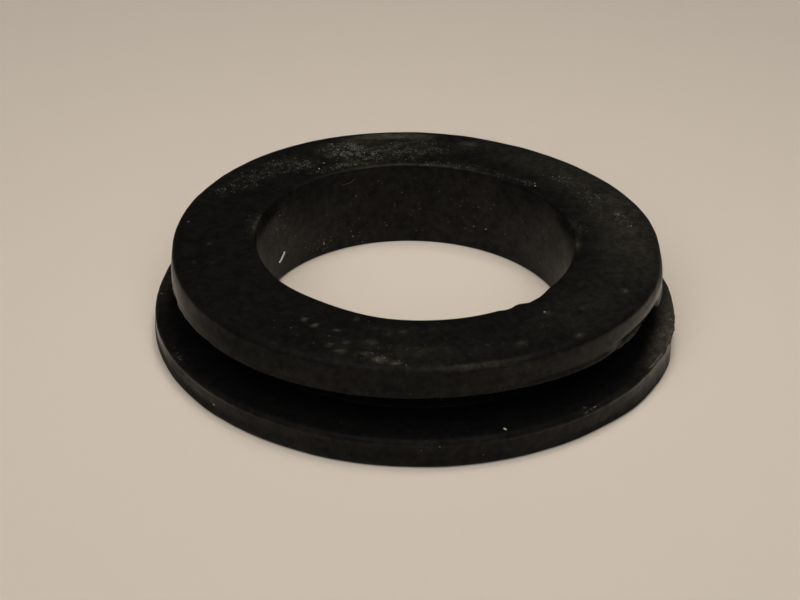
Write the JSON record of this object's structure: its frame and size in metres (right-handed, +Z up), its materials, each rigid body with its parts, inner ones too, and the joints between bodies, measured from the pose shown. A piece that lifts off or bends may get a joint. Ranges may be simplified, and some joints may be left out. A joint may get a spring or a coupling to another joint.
{
  "type": "rubber gasket",
  "caption": "Moulded rubber ring gasket with a straight bore, a wide lower flange, a narrower upper flange and a panel groove between them.",
  "frame": {"origin": "centre of the ring on its flat base, where it rests on a table", "axes": "+Z up along the bore, from the wide lower flange to the narrow upper flange; +X and +Y lie in the base, with the worn stretch of the bore's edge towards +X -Y"},
  "size_m": [0.04, 0.04, 0.0073],
  "materials": {
    "black_rubber": "dull moulded black rubber, dusty and slightly worn"
  },
  "bodies": {
    "root": {"gasket": "black_rubber"}
  },
  "joints": []
}
